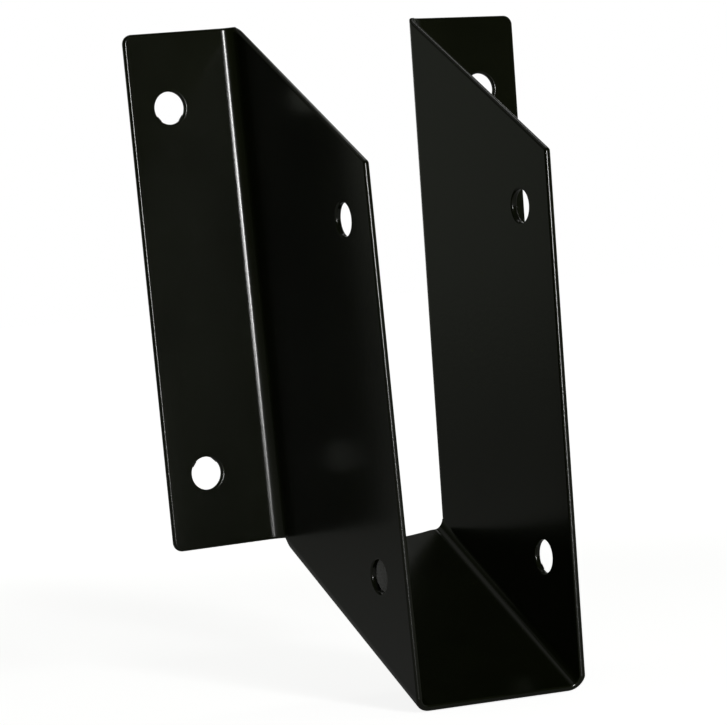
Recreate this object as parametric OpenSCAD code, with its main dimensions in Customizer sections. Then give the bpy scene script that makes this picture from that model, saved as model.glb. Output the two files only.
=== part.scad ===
// Angled joist hanger: one folded sheet, with a sloping seat between two walls and two flanges.
// The backs of the flanges lie on y = 0 and the seat runs out and down towards -Y.
// +Z is up, and z = 0 is the height of the two lower flange holes. All lengths are in mm.

/* [Sheet] */
// Thickness of the coated sheet
sheet_t = 1.5; // [1.2:0.1:2.5]
// Inside radius of the seat folds
bend_r = 2.2; // [1.6:0.1:3.2]
// Inside radius of the flange folds
flange_bend_r = 3; // [2:0.1:4]

/* [Seat] */
// Clear width between the walls, at the seat
seat_w = 39.7; // [36:0.1:90]
// Fall of the seat below level, in degrees
slope = 30; // [15:1:45]
// Reach of the walls from the mounting plane
reach = 63; // [50:1:90]
// Gap between the mounting plane and the seat's back end
seat_back_gap = 2.7; // [2:0.1:3.5]
// Depth of the shallow hollow in the seat's back edge
seat_back_hollow = 2.1; // [0.8:0.1:4]

/* [Walls] */
// Lean of each wall away from square to the seat, in degrees
wall_splay = 1.2; // [0:0.1:3]
// Distance from the mounting plane at which the walls' top edges start to fall
top_start = 2.3; // [1:0.1:3.5]
// Radius of the walls' upper front corners
wall_corner_r = 1; // [0.5:0.1:6]

/* [Flanges] */
// Height of the flanges
flange_h = 119; // [100:0.5:180]
// Width of each flange from the outer face of its wall
flange_w = 27.5; // [24:0.5:45]
// Radius of the flanges' outer corners
flange_corner_r = 2.2; // [1:0.1:6]
// Height of the flanges' lower edges above the seat fold, where the two folds meet
fold_drop = 0.4; // [0.1:0.05:0.8]
// Height by which the seat folds run up into the flange folds, where the corner is closed
corner_lap = 0.15; // [0.1:0.05:0.3]

/* [Holes] */
// Diameter of every hole
hole_d = 7.6; // [5:0.1:10]
// Flange holes: distance from the outer edge
flange_hole_edge = 10; // [8:0.1:12]
// Lower flange holes: height above the lower edge
flange_hole_rise = 17.2; // [10:0.1:30]
// Upper flange holes: depth below the upper edge
flange_hole_drop = 17.4; // [10:0.1:30]
// Wall holes: distance from the front edge
wall_hole_edge = 13; // [9:0.1:20]
// Upper wall holes: depth below the top edge
wall_hole_drop = 19.6; // [12:0.1:30]
// Lower wall holes: height above the seat
wall_hole_rise = 21.7; // [12:0.1:30]

/* [Hidden] */
$fn = 96;

// Outside radii of the seat folds and of the flange folds
outer_r = bend_r + sheet_t;
flange_outer_r = flange_bend_r + sheet_t;
// Half width of the seat's flat part, up to its folds
seat_flat = seat_w / 2 - bend_r;
// Length that a cutter runs past what it cuts
over = 5;

// Height of the seat folds' axis and of the seat's top face at the mounting plane,
// before the part is moved to its origin
axis_z = flange_outer_r * tan(slope) - fold_drop;
seat_z = axis_z - bend_r / cos(slope);
// Back end of the seat and its folds: always in front of the back of the flange folds
seat_back = min(seat_back_gap, flange_outer_r - 0.3);
// Length along the slope at which the seat ends square, where its fold reaches the walls' front
seat_end = (reach - bend_r * sin(slope)) / cos(slope);

// The leaning walls tilt the flange folds in the mounting plane, and turn the walls in plan
flange_tilt = atan(tan(wall_splay) * cos(slope));
wall_turn = asin(sin(wall_splay) * sin(slope));
// Angle in a wall's own plane between its flange fold and square to its seat fold
fold_lean = atan2(
    sin(slope) * cos(flange_tilt),
    sin(flange_tilt) * sin(wall_splay) + cos(flange_tilt) * cos(wall_splay) * cos(slope)
);
// A flat face meets a fold this far inside the fold's radius, so that the two cross cleanly
blend = 0.001;
// Flange fold's axis: out from the seat fold's axis square to the wall, and back along the wall
fold_out = outer_r + flange_bend_r - 2 * blend;
fold_back = (flange_outer_r - blend + fold_out * sin(wall_turn)) / cos(wall_turn);

// Outer edge of a flange, from the seat fold's axis
flange_edge = seat_w / 2 + sheet_t + flange_w - seat_flat;
// Flange hole positions in the flange's own frame
flange_hole_x = flange_edge - flange_hole_edge;
flange_low_z = flange_hole_rise - axis_z;
flange_high_z = flange_h - flange_hole_drop - axis_z;
// Height of the lower flange holes, which becomes z = 0
origin_z = axis_z - flange_hole_x * sin(flange_tilt) + flange_low_z * cos(flange_tilt);

// Side view: [y, z] of a point at a length along the slope and a height square to the seat
function on_slope(along, height) = [
    -along * cos(slope) - height * sin(slope),
    seat_z - along * sin(slope) + height * cos(slope)
];
// Side view: height of the walls' top edge at a distance out from the mounting plane
function top_z(out) = flange_h - (out - top_start) * tan(slope);

// Seat frame: x across, y square to the seat, z down the slope
module in_seat_frame() {
    translate([0, 0, seat_z])
        rotate([90 + slope, 0, 0])
            children();
}

// Right-hand wall's frame, on its seat fold's axis: x square to the wall, z down the slope
module in_wall_frame() {
    in_seat_frame()
        translate([seat_flat, bend_r, -bend_r * tan(slope)])
            rotate([0, 0, -wall_splay])
                children();
}

// Right-hand flange fold's frame: x square to the wall, y backwards, z up along the fold
module in_fold_frame() {
    in_wall_frame()
        rotate([-90 - fold_lean, 0, 0])
            children();
}

// Right-hand flange's frame: x outwards along it, y square to its back, z up its edge
module in_flange_frame() {
    translate([seat_flat, 0, axis_z])
        rotate([0, flange_tilt, 0])
            children();
}

// A right-hand piece and its mirror image on the left
module both_sides() {
    for (side = [0, 1])
        mirror([side, 0, 0])
            children();
}

// A prism from side to side of a side view drawn as [y, z]
module side_prism() {
    wide = seat_w + 2 * (sheet_t + flange_w + over) + flange_h;
    translate([-wide / 2, 0, 0])
        rotate([90, 0, 90])
            linear_extrude(wide)
                children();
}

// Section above the seat and between the walls, out to a radius from the seat folds' axes
module channel_area(r, wall) {
    translate([-seat_flat, bend_r - r])
        square([2 * seat_flat, r + wall]);
    for (side = [0, 1])
        mirror([side, 0])
            translate([seat_flat, bend_r]) {
                circle(r);
                rotate(-wall_splay)
                    translate([-seat_flat, 0])
                        square([seat_flat + r - blend, wall]);
            }
}

// Sloping solid with that section, longer at each end and higher by a margin
module channel_solid(r, margin) {
    behind = flange_h * sin(slope) + over;
    in_seat_frame()
        translate([0, 0, -behind - margin])
            linear_extrude(behind + seat_end + over + 2 * margin)
                channel_area(r, flange_h + reach + margin);
}

// What is cut from behind a wall, where its flange fold takes over
module wall_end() {
    lap = 1.08 * sqrt(2 * flange_bend_r * blend);
    in_fold_frame()
        translate([bend_r / 2, lap - fold_back, corner_lap - axis_z])
            cube([outer_r, flange_outer_r, flange_h + 2 * over]);
}

// Shallow round hollow in the seat's back edge, cut square through the seat
module seat_hollow() {
    half = seat_flat - 0.6;
    r = (half * half + seat_back_hollow * seat_back_hollow) / (2 * seat_back_hollow);
    in_seat_frame()
        translate([0, 0.2, seat_back / cos(slope) + seat_back_hollow - r])
            rotate([90, 0, 0])
                cylinder(r = r, h = sheet_t + over, $fn = 180);
}

// Outside of the sloping channel, solid between its walls, with its back end cut
module channel() {
    difference() {
        channel_solid(outer_r, 0);
        side_prism()
            translate([-seat_back, -flange_h - reach])
                square(2 * (flange_h + reach));
        both_sides() wall_end();
        seat_hollow();
    }
}

// Section outside a wall and in front of its flange, out to a radius from their fold's axis.
// The start of the wall is drawn thin, to lie within the channel's wall.
module flange_area(r, inset, past) {
    stub = 1 + past;
    translate([fold_out, -fold_back]) {
        circle(r);
        translate([inset - r, -stub])
            square([2 * r, stub]);
        rotate(-wall_turn)
            translate([0, -stub])
                square([flange_w + over + past, stub + r - blend]);
    }
}

// Right-hand flange and its fold, before they are cut to their outline
module flange() {
    in_fold_frame()
        translate([0, 0, -axis_z])
            linear_extrude(flange_h + over)
                difference() {
                    flange_area(flange_outer_r, 0.1, 0);
                    flange_area(flange_bend_r, -0.1, over);
                }
}

// Outline of a flange, drawn from its lower outer corner. It runs on past the lower edge, where
// the flange already ends.
module flange_outline() {
    translate([-flange_edge - over, -over])
        square([flange_edge + over - flange_corner_r, flange_h + over]);
    translate([-flange_edge - over, flange_corner_r - blend])
        square([flange_edge + over, flange_h - 2 * flange_corner_r + blend]);
    for (z = [flange_corner_r - blend, flange_h - flange_corner_r])
        translate([-flange_corner_r, z])
            circle(flange_corner_r);
}

// What is cut from round a flange's outline
module flange_trim() {
    deep = flange_outer_r + 0.5;
    in_flange_frame()
        translate([flange_edge, 0, -axis_z])
            difference() {
                translate([1 - flange_edge, -deep, -over / 2])
                    cube([flange_edge - 1 + 3 * over, deep + over, flange_h + 3 * over]);
                translate([0, 2 * over, 0])
                    rotate([90, 0, 0])
                        linear_extrude(deep + 3 * over)
                            flange_outline();
            }
}

// Cutters of a flange's two holes
module flange_holes() {
    in_flange_frame()
        for (z = [flange_low_z, flange_high_z])
            translate([flange_hole_x, over, z])
                rotate([90, 0, 0])
                    cylinder(d = hole_d, h = 2 * over);
}

// Cutters of the walls' holes, straight through both walls
module wall_holes() {
    out = reach - wall_hole_edge;
    wide = 2 * (seat_w + flange_h);
    high_z = top_z(out) - wall_hole_drop;
    low_z = on_slope(out / cos(slope), 0)[1] + wall_hole_rise;
    for (z = [low_z, high_z])
        translate([-wide / 2, -out, z])
            rotate([0, 90, 0])
                cylinder(d = hole_d, h = wide);
}

// Side view of the whole part: a top edge parallel to the seat, an upright front with a round
// upper corner, and a seat whose front end is cut square to the slope
module side_outline() {
    size = 2 * (flange_h + reach);
    run = wall_corner_r * tan((90 - slope) / 2);
    difference() {
        translate([wall_corner_r - reach, top_z(reach) - run]) {
            circle(wall_corner_r);
            translate([-wall_corner_r, -size])
                square(size);
            rotate(slope)
                translate([0, -size])
                    square([size, size + wall_corner_r - blend]);
        }
        translate(on_slope(seat_end, 0))
            rotate(slope)
                translate([-size, -size])
                    square([size, size + bend_r + over]);
    }
}

module joist_hanger() {
    color("dimgray")
        translate([0, 0, -origin_z])
            difference() {
                intersection() {
                    union() {
                        channel();
                        both_sides() flange();
                    }
                    side_prism() side_outline();
                }
                channel_solid(bend_r, over);
                both_sides() flange_trim();
                both_sides() flange_holes();
                wall_holes();
            }
}

joist_hanger();
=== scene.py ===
# Angled joist hanger: one folded sheet of steel in black powder coat, over a plain white floor.
# Blender 4.5. All lengths are in metres unless a name ends in Mm.
import math

import bmesh
import bpy
from mathutils import Matrix, Quaternion, Vector


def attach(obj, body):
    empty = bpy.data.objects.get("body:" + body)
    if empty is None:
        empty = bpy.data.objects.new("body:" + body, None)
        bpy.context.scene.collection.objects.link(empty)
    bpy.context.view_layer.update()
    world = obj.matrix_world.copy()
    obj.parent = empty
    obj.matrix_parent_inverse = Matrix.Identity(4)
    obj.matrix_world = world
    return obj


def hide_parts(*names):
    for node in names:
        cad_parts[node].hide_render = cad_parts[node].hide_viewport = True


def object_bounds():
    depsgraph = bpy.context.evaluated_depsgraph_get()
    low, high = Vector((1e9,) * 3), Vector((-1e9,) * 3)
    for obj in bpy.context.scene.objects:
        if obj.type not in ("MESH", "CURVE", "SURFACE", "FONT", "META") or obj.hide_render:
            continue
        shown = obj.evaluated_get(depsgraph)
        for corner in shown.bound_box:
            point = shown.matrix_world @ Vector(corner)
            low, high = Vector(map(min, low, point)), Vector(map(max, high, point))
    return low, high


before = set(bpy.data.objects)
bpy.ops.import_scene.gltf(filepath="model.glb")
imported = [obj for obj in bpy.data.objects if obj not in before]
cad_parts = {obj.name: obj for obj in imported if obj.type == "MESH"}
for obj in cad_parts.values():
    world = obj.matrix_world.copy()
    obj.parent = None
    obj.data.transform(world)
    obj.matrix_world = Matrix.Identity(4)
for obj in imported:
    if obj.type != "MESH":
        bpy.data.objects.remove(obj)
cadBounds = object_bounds()
scene = bpy.context.scene
scene.view_settings.view_transform = "Standard"
print("frame loaded")


# Node graphs

class Value:
    # a number socket that can stand in a sum
    def __init__(self, graph, socket):
        self.graph = graph
        self.socket = socket

    def maths(self, operation, first, second):
        return self.graph.add("ShaderNodeMath", {"operation": operation}, {0: first, 1: second})[0]

    def __add__(self, other):
        return self.maths("ADD", self, other)

    def __radd__(self, other):
        return self.maths("ADD", other, self)

    def __sub__(self, other):
        return self.maths("SUBTRACT", self, other)

    def __rsub__(self, other):
        return self.maths("SUBTRACT", other, self)

    def __mul__(self, other):
        return self.maths("MULTIPLY", self, other)

    def __rmul__(self, other):
        return self.maths("MULTIPLY", other, self)

    def __gt__(self, other):
        return self.maths("GREATER_THAN", self, other)


class Outputs:
    # a node's outputs, by name or by number
    def __init__(self, graph, node):
        self.graph = graph
        self.node = node

    def __getitem__(self, key):
        return Value(self.graph, self.node.outputs[key])


class Graph:
    # the emptied node tree of a material or a world
    def __init__(self, owner):
        owner.use_nodes = True
        self.tree = owner.node_tree
        self.tree.nodes.clear()

    def add(self, kind, settings, inputs):
        node = self.tree.nodes.new(kind)
        for name, value in settings.items():
            setattr(node, name, value)
        for name, value in inputs.items():
            if isinstance(value, Value):
                self.tree.links.new(value.socket, node.inputs[name])
            else:
                node.inputs[name].default_value = value
        return Outputs(self, node)

    def ramp(self, value, start, end, low=0.0, high=1.0):
        # smooth passage from low to high while the value goes from start to end
        return self.add("ShaderNodeMapRange", {"interpolation_type": "SMOOTHSTEP"}, {
            0: value, 1: start, 2: end, 3: low, 4: high})[0]

    def blend(self, share, first, second):
        return self.add("ShaderNodeMix", {"data_type": "RGBA"}, {0: share, 6: first, 7: second})[2]


def makeObject(name, data):
    item = bpy.data.objects.new(name, data)
    scene.collection.objects.link(item)
    return item


# Camera, fitted to the straight edges and the holes in the picture

cameraSettings = {
    "place": (-0.404387, -0.811664, 0.0432967),
    "right": (0.8892284, -0.4497457, -0.0836754),
    "up": (0.0853073, -0.0166783, 0.9962151),
    "lensMm": 191.056,
    "sensorMm": 36.0,
    "clip": (0.01, 100.0),
}


def makeCamera(settings):
    data = bpy.data.cameras.new("camera")
    data.lens = settings["lensMm"]
    data.sensor_width = settings["sensorMm"]
    data.sensor_fit = "HORIZONTAL"
    data.clip_start, data.clip_end = settings["clip"]
    right = Vector(settings["right"]).normalized()
    back = right.cross(Vector(settings["up"])).normalized()
    turn = Matrix((right, back.cross(right), back)).transposed().to_4x4()
    camera = makeObject("camera", data)
    camera.matrix_world = Matrix.Translation(settings["place"]) @ turn
    scene.camera = camera


makeCamera(cameraSettings)
print("camera placed")


# Powder coat: satin black with a fine orange peel and a few specks

coatSettings = {
    "colourDark": (0.0022, 0.0031, 0.0004, 1),
    "colourPale": (0.0034, 0.0046, 0.0009, 1),
    "cloudPerMetre": 45.0,                # slow change of tone and of gloss
    "cloudDetail": 3.0,
    "cloudRange": (0.3, 0.7),
    "roughness": 0.19,
    "roughnessSpread": 0.06,
    "peelPerMetre": 900.0,                # orange peel, about a millimetre across
    "peelDetail": 1.0,
    "peelHeight": 0.000007,
    "grainPerMetre": 2600.0,              # powder grain on top of it
    "grainDetail": 2.0,
    "grainHeight": 0.0000035,
    "noiseRoughness": 0.5,
    "refraction": 1.5,
    "speckColour": (0.045, 0.047, 0.043, 1),
    "speckPerMetre": 210.0,
    "speckRange": (0.016, 0.026),         # of a cell, from full to none
    "speckAbove": 0.93,                   # only cells whose random number is above this have one
}


def makePowderCoat(settings):
    material = bpy.data.materials.new("powderCoat")
    graph = Graph(material)
    place = graph.add("ShaderNodeTexCoord", {}, {})["Object"]

    def noise(name):
        return graph.add("ShaderNodeTexNoise", {}, {
            "Vector": place, "Scale": settings[name + "PerMetre"],
            "Detail": settings[name + "Detail"], "Roughness": settings["noiseRoughness"]})["Fac"]

    def bump(name, under):
        return graph.add("ShaderNodeBump", {}, {
            "Strength": 1.0, "Distance": settings[name + "Height"], "Height": noise(name),
            **under})["Normal"]

    cloud = noise("cloud")
    tone = graph.blend(
        graph.ramp(cloud, *settings["cloudRange"]), settings["colourDark"], settings["colourPale"])
    cells = graph.add("ShaderNodeTexVoronoi", {"feature": "F1"}, {
        "Vector": place, "Scale": settings["speckPerMetre"], "Randomness": 1.0})
    number = graph.add("ShaderNodeSeparateColor", {}, {0: cells["Color"]})["Red"]
    near = graph.ramp(cells["Distance"], *settings["speckRange"], 1.0, 0.0)
    colour = graph.blend(near * (number > settings["speckAbove"]), tone, settings["speckColour"])
    roughness = (cloud - 0.5) * settings["roughnessSpread"] + settings["roughness"]
    coat = graph.add("ShaderNodeBsdfPrincipled", {}, {
        "Base Color": colour, "Roughness": roughness, "IOR": settings["refraction"],
        "Normal": bump("grain", {"Normal": bump("peel", {})})})["BSDF"]
    graph.add("ShaderNodeOutputMaterial", {}, {"Surface": coat})
    return material


powderCoat = makePowderCoat(coatSettings)


# Hanger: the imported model's own faces, with the coating's round arrises put on

hangerSettings = {
    "joinWithin": 0.000002,
    "flatWithin": math.radians(1.0),
    "arrisAbove": math.radians(35.0),
    "arrisRadius": 0.0006,
    "rimRadius": 0.00045,                 # the holes' rims are a little crisper
    "rimFaceRound": (0.003, 0.0055),      # way round one small face inside a hole
    "arrisSegments": 5,
    "arrisProfile": 0.5,                  # a quarter circle
    "flatWeight": 100,                    # keeps the flat faces' shading flat up to their edges
}


def isArris(edge, settings):
    # an outer edge of the sheet that doesn't touch the closed corner's inner edges
    def isSharp(other):
        return other.calc_face_angle(0.0) > settings["arrisAbove"]

    touched = [other for corner in edge.verts for other in corner.link_edges]
    return isSharp(edge) and all(other.is_convex or not isSharp(other) for other in touched)


def isRim(edge, settings):
    # an edge of one of the small faces that line a hole, which turn inwards to each other
    least, most = settings["rimFaceRound"]

    def linesHole(face):
        inwards = not any(
            side.is_convex for side in face.edges
            if side.calc_face_angle(0.0) < settings["arrisAbove"])
        return inwards and least < face.calc_perimeter() < most

    return any(linesHole(face) for face in edge.link_faces)


def roundedMesh(source, settings, low, high):
    shape = bmesh.new()
    shape.from_mesh(source)
    bmesh.ops.remove_doubles(shape, verts=shape.verts, dist=settings["joinWithin"])
    bmesh.ops.dissolve_limit(
        shape, angle_limit=settings["flatWithin"], verts=shape.verts, edges=shape.edges)
    for radius, ofHoles in ((settings["rimRadius"], True), (settings["arrisRadius"], False)):
        arrises = [
            edge for edge in shape.edges
            if isArris(edge, settings) and isRim(edge, settings) == ofHoles]
        print(len(arrises), "edges rounded to", radius)
        bmesh.ops.bevel(
            shape, geom=arrises, offset=radius, offset_type="OFFSET", affect="EDGES",
            segments=settings["arrisSegments"], profile=settings["arrisProfile"],
            clamp_overlap=False, loop_slide=True)
    for corner in shape.verts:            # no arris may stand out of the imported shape's box
        corner.co = [min(max(c, l), h) for c, l, h in zip(corner.co, low, high)]
    for face in shape.faces:
        face.smooth = True
    mesh = bpy.data.meshes.new("hanger")
    shape.to_mesh(mesh)
    shape.free()
    return mesh


def makeHanger(node, settings):
    mesh = roundedMesh(node.data, settings, *cadBounds)
    mesh.materials.append(powderCoat)
    hanger = makeObject("hanger", mesh)
    even = hanger.modifiers.new("even", "WEIGHTED_NORMAL")
    even.mode = "FACE_AREA"
    even.weight = settings["flatWeight"]
    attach(hanger, "root")
    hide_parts("joist_hanger")


makeHanger(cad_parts["joist_hanger"], hangerSettings)
print("hanger rounded and coated")


# Floor: pale, lifted to white for the camera, with the hanger's soft shadow on it

floorSettings = {
    "half": 12.0,
    "gap": 0.0001,                        # between the floor and the hanger's lowest edge
    "colour": (0.8, 0.8, 0.8, 1),
    "lift": 0.88,
    "liftInGloss": 0.02,
    "whiteRange": (0.25, 0.7),            # distance over which the floor turns to pure white
}


def makeFloor(settings, lowest):
    half, height = settings["half"], lowest - settings["gap"]
    mesh = bpy.data.meshes.new("floor")
    mesh.from_pydata(
        [(x * half, y * half, height) for x, y in ((-1, -1), (1, -1), (1, 1), (-1, 1))],
        [], [(0, 1, 2, 3)])
    material = bpy.data.materials.new("paleFloor")
    graph = Graph(material)
    path = graph.add("ShaderNodeLightPath", {}, {})
    place = graph.add("ShaderNodeTexCoord", {}, {})["Object"]
    away = graph.add("ShaderNodeVectorMath", {"operation": "LENGTH"}, {0: place})["Value"]
    seen = path["Is Camera Ray"] * graph.ramp(away, *settings["whiteRange"], settings["lift"], 1.0)
    mirrored = (path["Is Glossy Ray"] + path["Is Transmission Ray"]) * settings["liftInGloss"]
    paint = graph.add("ShaderNodeBsdfDiffuse", {}, {"Color": settings["colour"]})["BSDF"]
    lift = graph.add("ShaderNodeEmission", {}, {"Strength": seen + mirrored})["Emission"]
    both = graph.add("ShaderNodeAddShader", {}, {0: paint, 1: lift})[0]
    graph.add("ShaderNodeOutputMaterial", {}, {"Surface": both})
    mesh.materials.append(material)
    makeObject("floor", mesh)


makeFloor(floorSettings, cadBounds[0][2])
print("floor laid")


# Soft boxes: a narrow leaning strip by the camera with a dimmer side, one overhead, and a small
# one whose only work is on the walls' sloping top edges

boxSettings = {
    "hanger": (0.0, -0.03, 0.03),
    "topEdges": (0.0, -0.032, 0.085),
    # aim, azimuth from the front towards the left, elevation, lean, distance, width, height, watts
    "strip": ("hanger", 6.0, 6.0, -25.0, 1.3, 0.10, 0.42, 9.0),
    "stripSide": ("hanger", -1.0, 6.0, -25.0, 1.32, 0.26, 0.42, 0.8),
    "overhead": ("hanger", 152.6, 67.0, 0.0, 1.0, 0.4, 0.5, 0.11),
    "edgeBox": ("topEdges", -133.5, 51.7, 0.0, 0.465, 0.11, 0.07, 0.032),
}


def makeSoftBox(settings, name):
    aim, azimuth, elevation, lean, distance, width, height, watts = settings[name]
    data = bpy.data.lights.new(name, "AREA")
    data.shape = "RECTANGLE"
    data.size, data.size_y = width, height
    data.energy = watts
    across, rise = math.radians(azimuth), math.radians(elevation)
    toward = Vector((
        -math.sin(across) * math.cos(rise), -math.cos(across) * math.cos(rise), math.sin(rise)))
    leaning = Quaternion((0.0, 0.0, 1.0), math.radians(lean))
    box = makeObject(name, data)
    box.location = Vector(settings[aim]) + toward * distance
    box.rotation_euler = (toward.to_track_quat("Z", "Y") @ leaning).to_euler()


for boxName in ("strip", "stripSide", "overhead", "edgeBox"):
    makeSoftBox(boxSettings, boxName)
print("soft boxes set")


# Studio all round: dim in front, lighter behind and to the right, with a white backdrop

studioSettings = {
    "front": (0.021, 0.023, 0.011, 1),
    "behind": (0.146, 0.157, 0.132, 1),
    "right": (0.157, 0.166, 0.145, 1),
    "high": (0.04, 0.042, 0.033, 1),
    "white": (1, 1, 1, 1),
    "backdropAim": (0.449, 0.893, 0.0),
    "behindRange": (-0.5, 0.7),           # of the cosine to the backdrop's middle
    "backdropRange": (0.8988, 0.9613),
    "rightRange": (0.6, 0.95),            # of the direction's x
    "highRange": (0.1, 0.8),              # of the direction's z
}


def makeStudio(settings):
    world = bpy.data.worlds.new("studio")
    scene.world = world
    graph = Graph(world)
    path = graph.add("ShaderNodeLightPath", {}, {})
    toward = graph.add("ShaderNodeTexCoord", {}, {})["Generated"]
    parts = graph.add("ShaderNodeSeparateXYZ", {}, {0: toward})
    cosine = graph.add("ShaderNodeVectorMath", {"operation": "DOT_PRODUCT"}, {
        0: toward, 1: settings["backdropAim"]})["Value"]
    colour = graph.blend(
        graph.ramp(cosine, *settings["behindRange"]), settings["front"], settings["behind"])
    colour = graph.blend(graph.ramp(parts["X"], *settings["rightRange"]), colour, settings["right"])
    colour = graph.blend(graph.ramp(parts["Z"], *settings["highRange"]), colour, settings["high"])
    mirrored = path["Is Glossy Ray"] + path["Is Transmission Ray"]
    white = path["Is Camera Ray"] + mirrored * graph.ramp(cosine, *settings["backdropRange"])
    dim = graph.add("ShaderNodeBackground", {}, {"Color": colour})["Background"]
    backdrop = graph.add("ShaderNodeBackground", {}, {"Color": settings["white"]})["Background"]
    both = graph.add("ShaderNodeMixShader", {}, {0: white, 1: dim, 2: backdrop})[0]
    graph.add("ShaderNodeOutputWorld", {}, {"Surface": both})


makeStudio(studioSettings)
print("studio lit")
